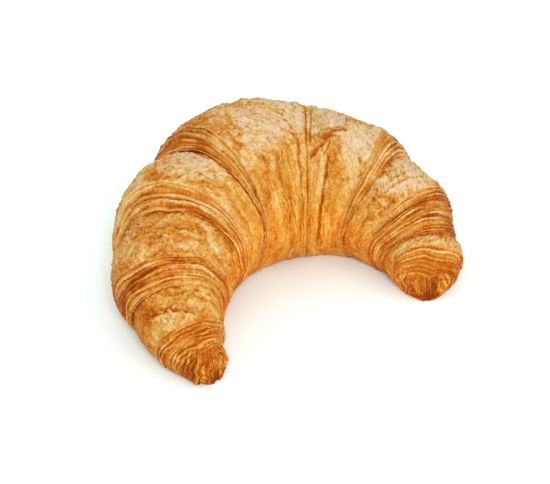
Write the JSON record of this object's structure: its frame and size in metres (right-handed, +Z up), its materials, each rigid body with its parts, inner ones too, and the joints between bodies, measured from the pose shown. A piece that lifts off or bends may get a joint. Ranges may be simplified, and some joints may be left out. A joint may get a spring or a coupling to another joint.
{
  "type": "butter croissant",
  "caption": "Baked butter croissant bent into a crescent, with rolled tiers that step down to both horns and a flat underside to rest on.",
  "frame": {"origin": "middle of the footprint's box, on the plane of the flat underside", "axes": "+X across both horns, towards the shorter, stubbier horn; +Y from the horns towards the outer back; +Z up out of the crown"},
  "size_m": [0.1484, 0.1114, 0.0641],
  "materials": {
    "crust": "golden brown laminated crust, satin with a soft egg-wash gloss"
  },
  "bodies": {
    "root": {"croissant": "crust"}
  },
  "joints": []
}
